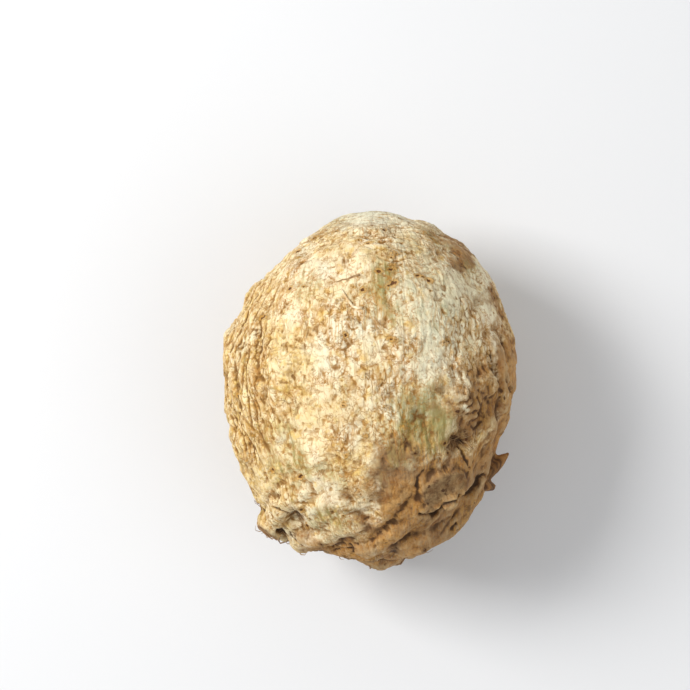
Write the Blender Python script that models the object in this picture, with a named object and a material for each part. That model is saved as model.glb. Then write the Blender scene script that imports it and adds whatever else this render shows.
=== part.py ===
"""A celeriac root lying on its side, as it is sold: leaves cut off, roots trimmed.

Run with: blender --background --python part.py
Metres, +Z up. Seen from above, the crown with its cut leaf stalks is at the far end (+Y) and the
roots are at the near end (-Y). The origin is on the small flat spot that it rests on.
"""

import math
import random

import bmesh
import bpy
from mathutils import Matrix, Vector, noise

# Outline of the swollen root seen from above, without its knobs and root arms: distance from
# the middle every 15 degrees, from the right side (+X) over the far end
OUTLINE = (
    0.0608, 0.0630, 0.0648, 0.0690, 0.0722, 0.0738, 0.0745, 0.0712,
    0.0678, 0.0645, 0.0634, 0.0630, 0.0618, 0.0612, 0.0632, 0.0670,
    0.0690, 0.0700, 0.0715, 0.0700, 0.0680, 0.0640, 0.0590, 0.0580,
)
HEIGHT = 0.1155
REST_DEPTH = 0.0012  # how much of the lowest bulge the resting spot takes away
SKIN_STEPS = 5  # subdivisions of the ball that becomes the skin

# Directions from the middle of the root
CROWN_WAY = Vector((0.04, 0.91, -0.41)).normalized()
ROOT_WAY = Vector((0.22, -0.91, -0.36)).normalized()
CROWN_ZONE = math.radians(24)
ROOT_ZONE = math.radians(54)
GOLDEN_ANGLE = math.radians(137.508)

# Crown: the cut leaf stalks stand in a shallow dish with a raised shoulder round it
CROWN_RADIUS = 0.0185
DISH_DEPTH = 0.0034
SHOULDER_RISE = 0.0020
STALK_COUNT = 19
STALK_RISE = 0.0044
STALK_FOOT = 0.0080
STALK_SIDES = 10

# Roots that grow by rule round the root end
ROOT_COUNT = 46
ROOT_SEED = 12
ROOT_STEPS = 4
GROOVE_DEPTH = 0.0013  # of the furrow along each side of a root
STUB_ROUNDING = 2
CUT_LEAN = 1.1
CUT_EVERY = 2  # of the grown roots, one in this many stands out and ends in a cut face

# Bulges and hollows of the upper side: place seen from above, rise (hollow if negative), spread
LUMPS = (
    ((0.0355, -0.0040), 0.0022, 0.0095),
    ((0.0340, -0.0205), -0.0040, 0.0050),
    ((0.0120, -0.0100), -0.0014, 0.0170),
    ((-0.0400, -0.0420), 0.0020, 0.0110),
    ((-0.0305, -0.0540), -0.0046, 0.0055),
    ((0.0400, 0.0450), -0.0018, 0.0110),
    ((0.0180, 0.0400), 0.0014, 0.0140),
    ((-0.0330, 0.0120), 0.0014, 0.0200),
    ((-0.0290, -0.0650), 0.0044, 0.0080),
    ((0.0010, -0.0720), 0.0024, 0.0080),
)

# Trimmed root bases with a flat cut face: place seen from above, radius, rise
CUT_KNOBS = (
    ((0.0295, -0.0385), 0.0098, 0.0046),
    ((-0.0410, -0.0545), 0.0066, 0.0052),
    ((0.0480, 0.0040), 0.0062, 0.0016),
)

# Root arms that hug the upper side: points seen from above, radius at each end
ARMS = (
    (((0.0490, -0.0120), (0.0470, -0.0300), (0.0420, -0.0440), (0.0330, -0.0560), (0.0170, -0.0640)),
     0.0090, 0.0080),
    (((0.0330, -0.0500), (0.0270, -0.0580), (0.0150, -0.0620)), 0.0060, 0.0052),
    (((0.0200, -0.0480), (0.0110, -0.0580), (-0.0020, -0.0650)), 0.0070, 0.0056),
    (((-0.0080, -0.0540), (-0.0180, -0.0610), (-0.0270, -0.0610)), 0.0062, 0.0052),
    (((-0.0300, -0.0400), (-0.0370, -0.0470), (-0.0400, -0.0520)), 0.0064, 0.0054),
    (((0.0520, 0.0200), (0.0550, 0.0060), (0.0540, -0.0060)), 0.0066, 0.0050),
)


def rim_radius(x, y):
    """Distance from the middle to the outline seen from above, towards a place."""
    turn = (math.degrees(math.atan2(y, x)) % 360) / 360 * len(OUTLINE)
    step = int(turn) % len(OUTLINE)
    share = turn - int(turn)
    before, here, after, later = (OUTLINE[(step + shift) % len(OUTLINE)] for shift in (-1, 0, 1, 2))
    bend = (2 * before - 5 * here + 4 * after - later) * share
    return here + 0.5 * share * (after - before + bend + (3 * (here - after) + later - before) * share ** 2)


def plain_radius(way):
    """Distance from the middle to the skin without roots, along a unit vector."""
    level = math.hypot(way.x, way.y)
    radius = 1 / math.hypot(level / rim_radius(way.x, way.y), way.z / (HEIGHT / 2))
    radius += 0.0018 * noise.noise(way * 1.7 + Vector((3.1, 0.4, 7.7)))
    radius += 0.0014 * noise.noise(way * 3.9 + Vector((0.3, 9.2, 1.5)))
    radius += 0.0009 * noise.noise(way * 8.5 + Vector((5.0, 2.0, 4.0)))
    return radius + crown_relief(way, radius)


def crown_relief(way, radius):
    """The dish that the stalks stand in, and its shoulder."""
    from_crown = radius * way.angle(CROWN_WAY)
    dish = -DISH_DEPTH * math.exp(-((from_crown / CROWN_RADIUS) ** 4))
    shoulder = SHOULDER_RISE * math.exp(-(((from_crown - 1.4 * CROWN_RADIUS) / 0.009) ** 2))
    return dish + shoulder


def on_plain_skin(way):
    return way * plain_radius(way)


def way_from_above(x, y):
    """Unit vector to the upper skin at a place seen from above; past the outline, to the rim."""
    share = math.hypot(x, y) / rim_radius(x, y)
    z = HEIGHT / 2 * math.sqrt(max(0.0, 1 - share * share))
    return Vector((x, y, z)).normalized()


def turned(axis_way, polar, azimuth):
    """Unit vector at a polar angle and azimuth round an axis."""
    side = axis_way.cross(Vector((0, 0, 1))).normalized()
    tilted = Matrix.Rotation(polar, 3, side) @ axis_way
    return Matrix.Rotation(azimuth, 3, axis_way) @ tilted


def placed_roots():
    """The root arms of the upper side, each as (points on the skin, radii, how far each is sunk)."""
    roots = []
    for places, thick, thin in ARMS:
        last = len(places) - 1
        points = [on_plain_skin(way_from_above(*place)) for place in places]
        radii = [thick + (thin - thick) * step / last for step in range(len(places))]
        sinks = [radius * (0.95 - 0.5 * step / last) for step, radius in enumerate(radii)]
        roots.append((points, radii, sinks))
    return roots


def grown_roots():
    """The roots round the root end: they leave the skin, run towards the root end and twist."""
    draw = random.Random(ROOT_SEED)
    roots = []
    for number in range(ROOT_COUNT):
        share = (number + 0.5) / ROOT_COUNT
        polar = math.radians(6) + ROOT_ZONE * math.sqrt(share) + draw.uniform(-0.06, 0.06)
        azimuth = number * GOLDEN_ANGLE + draw.uniform(-0.25, 0.25)
        thick = draw.uniform(0.0042, 0.0072)
        run = draw.uniform(0.22, 0.42)
        twist = draw.uniform(-0.45, 0.45)
        rise = draw.uniform(0.35, 0.95)
        if turned(ROOT_WAY, polar, azimuth).z > 0.10:
            continue
        points, radii, sinks = [], [], []
        for step in range(ROOT_STEPS):
            along = step / (ROOT_STEPS - 1)
            way = turned(ROOT_WAY, abs(polar - run * along), azimuth + twist * along)
            points.append(on_plain_skin(way))
            radii.append(thick * (1.1 - 0.35 * along) * draw.uniform(0.9, 1.1))
            sinks.append(radii[-1] * (0.9 - rise * math.sin(2.2 * along)))
        roots.append((points, radii, sinks))
    return roots


def root_rise(point, root):
    """How far a root lifts the plain skin at a point: a round back with a furrow along each side."""
    points, radii, sinks = root
    highest, furrow = 0.0, 0.0
    for step in range(len(points) - 1):
        along = points[step + 1] - points[step]
        share = max(0.0, min(1.0, (point - points[step]).dot(along) / along.length_squared))
        radius = radii[step] + (radii[step + 1] - radii[step]) * share
        sink = sinks[step] + (sinks[step + 1] - sinks[step]) * share
        off = (points[step] + along * share - point).length / radius
        if off < 1:
            highest = max(highest, radius * math.sqrt(1 - off * off) - sink)
        furrow = max(furrow, math.exp(-(((off - 1.1) / 0.3) ** 2)))
    return highest, furrow


def knob_rise(point, centre, radius, rise):
    """A trimmed root base: steep sides and a nearly flat cut face."""
    off = (point - centre).length / radius
    return rise * math.sqrt(1 - off ** 4) if off < 1 else 0.0


def skin_point(way, lumps, knobs, roots):
    """Point of the finished skin along a unit vector."""
    point = on_plain_skin(way)
    lifts = [root_rise(point, root) for root in roots]
    rise = max([lift for lift, _ in lifts] + [knob_rise(point, *knob) for knob in knobs])
    if rise < GROOVE_DEPTH:
        rise -= GROOVE_DEPTH * max(furrow for _, furrow in lifts) * (1 - rise / GROOVE_DEPTH)
    for centre, height, spread in lumps:
        rise += height * math.exp(-(((point - centre).length / spread) ** 2))
    return point + way * rise


def material(name, colour, roughness):
    made = bpy.data.materials.new(name)
    made.use_nodes = True
    shader = made.node_tree.nodes["Principled BSDF"]
    shader.inputs["Base Color"].default_value = (*colour, 1)
    shader.inputs["Roughness"].default_value = roughness
    shader.inputs["Metallic"].default_value = 0
    return made


def move_to(collection, piece, name):
    """Names a new object and puts it in a collection of its own kind."""
    piece.name = name
    for owner in list(piece.users_collection):
        owner.objects.unlink(piece)
    collection.objects.link(piece)
    return piece


def refine(ball):
    """Halves the edges round the crown and the root end, where the forms are smallest."""
    shape = bmesh.new()
    shape.from_mesh(ball.data)
    fine = [edge for edge in shape.edges
            if all(vertex.co.angle(ROOT_WAY) < ROOT_ZONE or vertex.co.angle(CROWN_WAY) < CROWN_ZONE
                   for vertex in edge.verts)]
    bmesh.ops.subdivide_edges(shape, edges=fine, cuts=1, use_grid_fill=True)
    bmesh.ops.triangulate(shape, faces=shape.faces)
    shape.to_mesh(ball.data)
    shape.free()


def make_skin(collection):
    """The swollen root with its root arms: a ball whose points are moved onto the formula."""
    bpy.ops.mesh.primitive_ico_sphere_add(subdivisions=SKIN_STEPS, radius=1)
    skin = move_to(collection, bpy.context.object, "celeriac_root")
    refine(skin)
    lumps = [(on_plain_skin(way_from_above(*place)), rise, spread) for place, rise, spread in LUMPS]
    knobs = [(on_plain_skin(way_from_above(*place)), radius, rise) for place, radius, rise in CUT_KNOBS]
    roots = placed_roots() + grown_roots()
    for vertex in skin.data.vertices:
        vertex.co = skin_point(vertex.co.normalized(), lumps, knobs, roots)
    return skin


def weld_caps(mesh):
    shape = bmesh.new()
    shape.from_mesh(mesh)
    bmesh.ops.remove_doubles(shape, verts=shape.verts, dist=0.00001)
    bmesh.ops.recalc_face_normals(shape, faces=shape.faces)
    shape.to_mesh(mesh)
    shape.free()


def straight_stub(name, way, lean, sunk, rise, radii, collection):
    """A short root that stands out of the skin: a tube from inside the skin, a radius at each point."""
    foot = on_plain_skin(way)
    heading = (way + lean).normalized()
    curve = bpy.data.curves.new(name, "CURVE")
    curve.dimensions = "3D"
    curve.bevel_depth = 1
    curve.bevel_resolution = STUB_ROUNDING
    curve.use_fill_caps = True
    spline = curve.splines.new("POLY")
    spline.points.add(len(radii) - 1)
    for step, radius in enumerate(radii):
        share = step / (len(radii) - 1)
        spline.points[step].co = (*(foot + heading * (-sunk + (sunk + rise) * share)), 1)
        spline.points[step].radius = radius
    guide = bpy.data.objects.new(name + "_line", curve)
    collection.objects.link(guide)
    bpy.context.view_layer.update()
    graph = bpy.context.evaluated_depsgraph_get()
    mesh = bpy.data.meshes.new_from_object(guide.evaluated_get(graph))
    stub = bpy.data.objects.new(name, mesh)
    stub.matrix_world = guide.matrix_world
    collection.objects.link(stub)
    bpy.data.objects.remove(guide)
    weld_caps(mesh)
    return stub


def make_cut_roots(collection):
    """The roots that leave the skin at their end, where they were cut off short."""
    for number, (points, radii, sinks) in enumerate(grown_roots()[::CUT_EVERY]):
        foot = points[-1]
        run = (foot - points[-2]).normalized()
        outward = foot.normalized()
        thick = radii[-1] * 0.95
        lean = run * CUT_LEAN * (0.5 + (number * 0.618) % 1)
        straight_stub(f"cut_root_{number}", outward, lean, 0.006, 0.0026 + 0.25 * thick,
                      (thick * 1.15, thick * 1.1, thick, thick * 0.88), collection)


def make_stubs(collection):
    """The tap root, the spur and the knobs that stand out of the outline."""
    straight_stub("tap_root", ROOT_WAY, Vector((-0.15, 0, 0.25)), 0.012, 0.0050,
                  (0.0100, 0.0098, 0.0090, 0.0070), collection)
    spur_way = Vector((0.0510, -0.0350, 0.0060)).normalized()
    straight_stub("spur", spur_way, Vector((0.0, 1.25, 0.05)), 0.005, 0.0122,
                  (0.0034, 0.0036, 0.0034, 0.0024, 0.0006), collection)
    knob_way = Vector((0.0510, -0.0420, 0.0060)).normalized()
    straight_stub("small_knob", knob_way, Vector((0.3, 0.3, 0)), 0.005, 0.0056,
                  (0.0018, 0.0026, 0.0027, 0.0014), collection)


def make_stalks(collection):
    """The cut leaf stalks: stubs bent round the crown in a spiral, the outer ones wider."""
    centre = on_plain_skin(CROWN_WAY)
    side = CROWN_WAY.cross(Vector((0, 0, 1))).normalized()
    other = CROWN_WAY.cross(side)
    for number in range(STALK_COUNT):
        share = math.sqrt((number + 0.3) / STALK_COUNT)
        azimuth = number * GOLDEN_ANGLE
        outward = side * math.cos(azimuth) + other * math.sin(azimuth)
        lean = (CROWN_WAY + outward * 0.35 * share).normalized()
        across = CROWN_WAY.cross(outward)
        inward = lean.cross(across)
        bpy.ops.mesh.primitive_cone_add(vertices=STALK_SIDES, radius1=1, radius2=0.72, depth=1)
        stalk = move_to(collection, bpy.context.object, f"stalk_{number}")
        half_width = 0.0020 + 0.0032 * share
        half_thick = 0.0015 + 0.0006 * share
        tall = STALK_FOOT + STALK_RISE * (1.1 - 0.4 * share)
        ring = max(0.004, CROWN_RADIUS * share)
        foot = centre + outward * CROWN_RADIUS * share - lean * STALK_FOOT
        for vertex in stalk.data.vertices:
            sideways = vertex.co.x * half_width
            bent = vertex.co.y * half_thick + 0.5 * sideways * sideways / ring
            vertex.co = foot + across * sideways + inward * bent + lean * (vertex.co.z + 0.5) * tall


def join_to_skin(skin, collection):
    """One Boolean union makes the skin, stubs and stalks one solid."""
    union = skin.modifiers.new("grown_together", "BOOLEAN")
    union.operation = "UNION"
    union.operand_type = "COLLECTION"
    union.collection = collection
    bpy.context.view_layer.update()
    graph = bpy.context.evaluated_depsgraph_get()
    joined = bpy.data.meshes.new_from_object(skin.evaluated_get(graph))
    skin.modifiers.clear()
    skin.data = joined
    for piece in list(collection.objects):
        bpy.data.objects.remove(piece)
    bpy.data.collections.remove(collection)


def keep_outer_shell(skin):
    """Fills the hollows that the union sealed, by deleting every shell but the outer one."""
    shape = bmesh.new()
    shape.from_mesh(skin.data)
    left = set(shape.faces)
    shells = []
    while left:
        rim = [left.pop()]
        found = list(rim)
        while rim:
            others = {face for edge in rim.pop().edges for face in edge.link_faces} & left
            left -= others
            rim.extend(others)
            found.extend(others)
        shells.append(found)
    shells.sort(key=len)
    for inner in shells[:-1]:
        bmesh.ops.delete(shape, geom=inner, context="FACES")
    shape.to_mesh(skin.data)
    shape.free()


def cut_resting_spot(skin):
    """Takes off what is lower than the resting spot and closes the cut with one flat face."""
    shape = bmesh.new()
    shape.from_mesh(skin.data)
    level = min(vertex.co.z for vertex in shape.verts) + REST_DEPTH
    everything = [*shape.verts, *shape.edges, *shape.faces]
    cut = bmesh.ops.bisect_plane(shape, geom=everything, dist=0.000001, plane_co=(0, 0, level),
                                 plane_no=(0, 0, 1), clear_inner=True)
    rim = [item for item in cut["geom_cut"] if isinstance(item, bmesh.types.BMEdge)]
    bmesh.ops.holes_fill(shape, edges=rim, sides=0)
    bmesh.ops.recalc_face_normals(shape, faces=shape.faces)
    shape.to_mesh(skin.data)
    shape.free()


def stand_on_origin(skin):
    """Moves the mesh so that the origin is under the middle of its outline, on the resting spot."""
    places = [vertex.co for vertex in skin.data.vertices]
    low = Vector(min(place[axis] for place in places) for axis in range(3))
    high = Vector(max(place[axis] for place in places) for axis in range(3))
    middle = (low + high) / 2
    skin.data.transform(Matrix.Translation((-middle.x, -middle.y, -low.z)))


def main():
    for leftover in list(bpy.data.objects):
        bpy.data.objects.remove(leftover)
    whole = bpy.data.collections.new("celeriac")
    growths = bpy.data.collections.new("growths")
    bpy.context.scene.collection.children.link(whole)
    bpy.context.scene.collection.children.link(growths)
    skin = make_skin(whole)
    make_stubs(growths)
    make_cut_roots(growths)
    make_stalks(growths)
    join_to_skin(skin, growths)
    keep_outer_shell(skin)
    cut_resting_spot(skin)
    stand_on_origin(skin)
    skin.data.materials.clear()
    skin.data.materials.append(material("celeriac_skin", (0.72, 0.55, 0.31), 0.72))
    skin.data.shade_smooth()
    skin.data.set_sharp_from_angle(angle=math.radians(50))


main()
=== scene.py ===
"""A celeriac root lying on its side: corky skin, cut roots and stalks, rootlets, and a plain studio."""

import math
import random
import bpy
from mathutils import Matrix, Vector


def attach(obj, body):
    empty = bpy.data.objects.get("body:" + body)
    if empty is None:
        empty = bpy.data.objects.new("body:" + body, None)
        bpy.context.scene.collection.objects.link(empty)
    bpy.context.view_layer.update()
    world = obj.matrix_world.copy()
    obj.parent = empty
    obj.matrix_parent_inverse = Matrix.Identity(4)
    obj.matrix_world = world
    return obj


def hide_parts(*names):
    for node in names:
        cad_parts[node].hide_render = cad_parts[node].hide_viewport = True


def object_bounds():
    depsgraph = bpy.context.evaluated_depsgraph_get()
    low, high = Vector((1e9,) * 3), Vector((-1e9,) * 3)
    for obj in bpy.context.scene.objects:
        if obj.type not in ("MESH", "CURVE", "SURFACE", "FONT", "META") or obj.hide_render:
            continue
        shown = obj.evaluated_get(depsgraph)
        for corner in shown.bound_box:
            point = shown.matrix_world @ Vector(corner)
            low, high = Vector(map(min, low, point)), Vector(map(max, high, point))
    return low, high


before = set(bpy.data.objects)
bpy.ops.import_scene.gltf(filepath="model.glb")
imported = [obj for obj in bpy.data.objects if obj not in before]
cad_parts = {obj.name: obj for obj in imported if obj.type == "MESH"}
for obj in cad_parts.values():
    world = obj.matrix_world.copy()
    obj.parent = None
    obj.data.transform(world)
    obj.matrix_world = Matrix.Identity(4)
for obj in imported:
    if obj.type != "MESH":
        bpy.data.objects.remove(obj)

from types import SimpleNamespace

import bpy
import numpy as np
from mathutils import Matrix, Vector, noise
from mathutils.bvhtree import BVHTree

SOLID_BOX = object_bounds()

# Form of the root, as in its solid, in metres from the middle of the swollen root
MIDDLE = np.array((0.0, -0.00043, 0.05741))
OUTLINE = (
    0.0608, 0.0630, 0.0648, 0.0690, 0.0722, 0.0738, 0.0745, 0.0712,
    0.0678, 0.0645, 0.0634, 0.0630, 0.0618, 0.0612, 0.0632, 0.0670,
    0.0690, 0.0700, 0.0715, 0.0700, 0.0680, 0.0640, 0.0590, 0.0580,
)
HEIGHT = 0.1155
CROWN_WAY = Vector((0.04, 0.91, -0.41)).normalized()
ROOT_WAY = Vector((0.22, -0.91, -0.36)).normalized()
ROOT_ZONE = math.radians(54)
GOLDEN_ANGLE = math.radians(137.508)
GOLDEN_SHARE = 0.618
CROWN_RADIUS = 0.0185
DISH_DEPTH = 0.0034
SHOULDER_RISE = 0.0020
STALK_COUNT = 19
STALK_RISE = 0.0044
STALK_FOOT = 0.0080
ROOT_COUNT = 46
ROOT_SEED = 12
ROOT_STEPS = 4
GROOVE_DEPTH = 0.0013
CUT_LEAN = 1.1
CUT_EVERY = 2
KNOB_TILT = 0.12  # how far the old cuts of the upper side lean up
CUT_REACH = 0.0014  # a cut flattens what stands this far out from it, or less
OLD_CUT_REACH = 0.0040
STALK_CUT_AGE = 0.3  # 0 freshly cut, 1 dried
OLD_CUT_AGE = 0.9

# Stubs: way out from the middle, lean, depth under the skin, rise over it, radii to the end
TAP_ROOT = (ROOT_WAY, Vector((-0.15, 0, 0.25)), 0.012, 0.0050, (0.0100, 0.0098, 0.0090, 0.0070))
SPUR = (Vector((0.0510, -0.0350, 0.0060)).normalized(), Vector((0.0, 1.25, 0.05)), 0.005, 0.0122,
        (0.0034, 0.0036, 0.0034, 0.0024, 0.0006))
SMALL_KNOB = (Vector((0.0510, -0.0420, 0.0060)).normalized(), Vector((0.3, 0.3, 0)), 0.005, 0.0056,
              (0.0018, 0.0026, 0.0027, 0.0014))

# Corners of the large old cut, seen from above
BIG_CUT = ((0.0190, -0.0318), (0.0187, -0.0418), (0.0250, -0.0495), (0.0400, -0.0400), (0.0408, -0.0308))

# Lumps and hollows of the upper side: place seen from above, height, spread
LUMPS = (
    ((0.0355, -0.0040), 0.0022, 0.0095),
    ((0.0340, -0.0205), -0.0040, 0.0050),
    ((0.0120, -0.0100), -0.0014, 0.0170),
    ((-0.0400, -0.0420), 0.0020, 0.0110),
    ((-0.0305, -0.0540), -0.0046, 0.0055),
    ((0.0400, 0.0450), -0.0018, 0.0110),
    ((0.0180, 0.0400), 0.0014, 0.0140),
    ((-0.0330, 0.0120), 0.0014, 0.0200),
    ((-0.0290, -0.0650), 0.0044, 0.0080),
    ((0.0010, -0.0720), 0.0024, 0.0080),
)

# Knobs with flat ends: place seen from above, radius, height
CUT_KNOBS = (
    ((0.0295, -0.0385), 0.0098, 0.0046),
    ((-0.0410, -0.0545), 0.0066, 0.0052),
    ((0.0480, 0.0040), 0.0062, 0.0016),
)

# Root arms of the upper side: places seen from above, radius at the start and at the end
ARMS = (
    (((0.0490, -0.0120), (0.0470, -0.0300), (0.0420, -0.0440), (0.0330, -0.0560), (0.0170, -0.0640)),
     0.0090, 0.0080),
    (((0.0330, -0.0500), (0.0270, -0.0580), (0.0150, -0.0620)), 0.0060, 0.0052),
    (((0.0200, -0.0480), (0.0110, -0.0580), (-0.0020, -0.0650)), 0.0070, 0.0056),
    (((-0.0080, -0.0540), (-0.0180, -0.0610), (-0.0270, -0.0610)), 0.0062, 0.0052),
    (((-0.0300, -0.0400), (-0.0370, -0.0470), (-0.0400, -0.0520)), 0.0064, 0.0054),
    (((0.0520, 0.0200), (0.0550, 0.0060), (0.0540, -0.0060)), 0.0066, 0.0050),
)

# Skin detail
GRAIN = 0.00077  # side of one face of the skin
SKIN_FACES = 192000  # three-sided faces in the finished skin
SCAR_SEED = 7
SCAR_COUNT = 340
RING_HEIGHT = 0.00060
RIB_HEIGHT = 0.00042
FINE_RIB_HEIGHT = 0.00030
FLAKE_HEIGHT = 0.00035
SECOND_FLAKE_HEIGHT = 0.00030
CELL_GROOVE = 0.00045
SWELL_HEIGHT = 0.00075
GRAIN_HEIGHT = 0.00022
KNOT_HEIGHT = 0.0005
KNOT_CREASE = 0.0004
LOBE_CREASE = 0.00075
BUNCH_HEIGHT = 0.0011
SCAR_PIT_DEPTH = 0.0009
ROOTY_ZONE = (math.radians(64), math.radians(44))  # angles from the root end: none, then full
RINGED_ZONE = (1.35, 0.60)  # angles from the crown: no rings, then full rings
# Painted shade darkens the hollows and painted highlight lightens the ridges, scaled by these depths
HOLLOW_DEPTH = 0.00035  # a small hollow this deep is coloured fully
WIDE_HOLLOW_DEPTH = 0.0014
FLOW_RADIUS = 0.06  # turns the flow's angles to lengths on the skin
BOX_MARGIN = 0.00001  # how far the skin stays inside the solid's box
CRACK_STEP = 0.0012

# Rootlets
ROOTLET_STEPS = 7
ROOT_RADIUS = 0.065
BOX_GAP = 0.0010  # how far rootlets stay inside the solid's box
HAIR_SEED = 21
ROOTLET_COUNT = 190
HAIR_COUNT = 20
HAIR_RING = (0.0358, -0.0188)  # middle of the ring of hairs in the hollow, and its two radii
HAIR_RING_RADII = (0.0026, 0.0022)

# Rootlets of the upper side: places seen from above, height over the skin, radii
OCHRE_ROOTLET = (
    ((-0.0147, 0.0466), (-0.0122, 0.0472), (-0.0098, 0.0471), (-0.0072, 0.0480), (-0.0048, 0.0481)),
    0.0002, (0.00016, 0.00032, 0.00038, 0.00038, 0.00052))
PALE_ROOTLET = (
    ((-0.0126, 0.0436), (-0.0105, 0.0400), (-0.0078, 0.0362), (-0.0058, 0.0352), (-0.0038, 0.0353)),
    0.0007, (0.00034, 0.00048, 0.00056, 0.00056, 0.00070))
EDGE_ROOTLET = (
    ((-0.0575, 0.0125), (-0.0590, 0.0155), (-0.0600, 0.0178), (-0.0605, 0.0195)),
    0.0006, (0.0007, 0.00065, 0.0005, 0.00025))

# Root scars that show on the upper side: place seen from above, radius
SEEN_SCARS = (
    ((0.0056, 0.0675), 0.0012), ((-0.0013, 0.0615), 0.0011), ((0.0081, 0.0556), 0.0010),
    ((0.0081, 0.0502), 0.0012), ((0.0090, 0.0437), 0.0016), ((-0.0033, 0.0427), 0.0015),
    ((0.0032, 0.0496), 0.0011), ((-0.0078, 0.0442), 0.0010), ((-0.0306, 0.0590), 0.0013),
    ((-0.0147, 0.0663), 0.0013),
    ((-0.0331, 0.0422), 0.0014), ((-0.0440, 0.0308), 0.0016), ((0.0183, 0.0468), 0.0012),
    ((0.0207, 0.0460), 0.0011), ((0.0229, 0.0448), 0.0013), ((0.0391, -0.0015), 0.0014),
    ((-0.0273, -0.0570), 0.0012), ((-0.0201, -0.0676), 0.0012), ((0.0313, -0.0247), 0.0010),
    ((0.0352, -0.0190), 0.0026), ((0.0300, -0.0205), 0.0013),
)

# Cracks and creases of the upper side: points seen from above, depth, half width
CRACKS = (
    (((0.0345, -0.0205), (0.0380, -0.0260), (0.0412, -0.0316)), 0.0014, 0.0008),
    (((0.0325, -0.0185), (0.0350, -0.0190), (0.0372, -0.0200)), 0.0018, 0.0018),
    (((0.0500, -0.0310), (0.0448, -0.0362), (0.0412, -0.0400), (0.0320, -0.0458), (0.0252, -0.0506),
      (0.0200, -0.0500)), 0.0026, 0.0017),
    (((0.0184, -0.0400), (0.0187, -0.0340), (0.0215, -0.0312)), 0.0008, 0.0008),
    (((0.0355, -0.0540), (0.0315, -0.0600), (0.0270, -0.0645)), 0.0016, 0.0012),
    (((0.0550, 0.0070), (0.0580, 0.0015), (0.0604, -0.0020)), 0.0018, 0.0011),
    (((0.0490, 0.0180), (0.0500, 0.0080), (0.0560, -0.0040)), 0.0009, 0.0007),
    (((0.0545, 0.0183), (0.0562, 0.0110), (0.0560, 0.0060)), 0.0010, 0.0007),
    (((-0.0350, -0.0570), (-0.0330, -0.0610), (-0.0290, -0.0640), (-0.0230, -0.0640)), 0.0014, 0.0010),
    (((-0.0190, -0.0670), (-0.0130, -0.0655), (-0.0060, -0.0640)), 0.0012, 0.0008),
    (((-0.0400, -0.0470), (-0.0340, -0.0500), (-0.0290, -0.0480)), 0.0010, 0.0008),
    (((-0.0385, -0.0560), (-0.0366, -0.0600), (-0.0348, -0.0635)), 0.0022, 0.0017),
    (((-0.0280, -0.0665), (-0.0200, -0.0690), (-0.0140, -0.0690)), 0.0012, 0.0010),
)

# Patches of the upper side: place seen from above, half width, half length, strength
BROWN_PATCHES = (
    (0.0385, 0.0600, 0.013, 0.008, 0.80), (0.0500, 0.0330, 0.008, 0.015, 0.55),
    (0.0360, -0.0400, 0.026, 0.030, 1.00), (0.0200, -0.0600, 0.022, 0.016, 0.85),
    (0.0385, -0.0080, 0.014, 0.016, 0.92), (0.0060, -0.0680, 0.024, 0.010, 0.38),
    # The patch at 0.0150, -0.0200 is painted shade: a darker tan tint on the flank
    (0.0150, -0.0200, 0.012, 0.018, 0.34), (0.0030, -0.0570, 0.017, 0.015, 0.85),
    (-0.0080, -0.0660, 0.013, 0.007, 0.55),
)
CLEARED_PATCH = ((0.0175, -0.0100, 0.013, 0.017, 0.85),)
GREEN_PATCHES = (
    (0.0065, 0.0400, 0.008, 0.015, 1.10), (0.0250, 0.0350, 0.016, 0.024, 0.72),
    (0.0190, -0.0110, 0.014, 0.021, 1.20), (0.0310, 0.0140, 0.011, 0.014, 0.50),
    (0.0110, -0.0260, 0.008, 0.018, 0.90), (0.0090, -0.0400, 0.009, 0.018, 0.60),
    (-0.0190, -0.0540, 0.014, 0.009, 0.75),
)
GOLD_PATCHES = ((-0.0270, 0.0385, 0.0030, 0.0022, 1.00), (-0.0205, 0.0368, 0.0026, 0.0020, 1.00))
ORANGE_PATCH = ((0.0440, -0.0240, 0.009, 0.012, 0.70),)
PALE_PATCHES = (
    (-0.0010, 0.0750, 0.026, 0.0100, 1.00), (0.0363, -0.0048, 0.0020, 0.0028, 1.00),
    # The patch at 0.0370, 0.0440 is painted light: paler skin on the upper right, which falls in shade
    (0.0260, 0.0280, 0.017, 0.030, 0.85), (0.0370, 0.0440, 0.012, 0.014, 0.80),
)
LOBED_PATCH = ((0.0360, -0.0440, 0.026, 0.028, 1.00),)
BUNCHED_PATCH = ((0.0400, -0.0065, 0.008, 0.012, 1.00),)
SMOOTH_PATCH = ((-0.0010, 0.0745, 0.022, 0.0080, 0.70),)

# Studio
CAMERA_PLACE = (-0.0107, 0.0191, 1.257)
CAMERA_TO_ROOT = 1.2
SEEN_WIDTH = 0.290  # how much the picture shows at half the root's height
SENSOR = 36
LIGHT_AIM = Vector((0, 0, 0.05))


def unit(vectors):
    return vectors / np.linalg.norm(vectors, axis=1, keepdims=True)


def step_between(low, high, values):
    """0 below low, 1 above high, smooth between; it falls instead where low is over high."""
    share = np.clip((values - low) / (high - low), 0, 1)
    return share * share * (3 - 2 * share)


def jumping(number, jump=GOLDEN_SHARE):
    """A share from 0 to 1 that jumps about from one number to the next."""
    return number * jump % 1


def noise_at(places, bump, shift=(0.0, 0.0, 0.0)):
    """Smooth noise from -1 to 1, with bumps of about that size; a shift gives another stretch of it."""
    spots = places / np.array(bump) + np.array(shift)
    return np.array([noise.noise(spot) for spot in spots.tolist()])


# The form of the root

def rim_radius(x, y):
    turn = (np.degrees(np.arctan2(y, x)) % 360) / 360 * len(OUTLINE)
    step = np.floor(turn).astype(int)
    share = turn - step
    rim = np.array(OUTLINE)
    before, here, after, later = (rim[(step + shift) % len(rim)] for shift in (-1, 0, 1, 2))
    bend = (2 * before - 5 * here + 4 * after - later) * share
    return here + 0.5 * share * (after - before + bend + (3 * (here - after) + later - before) * share ** 2)


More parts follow.
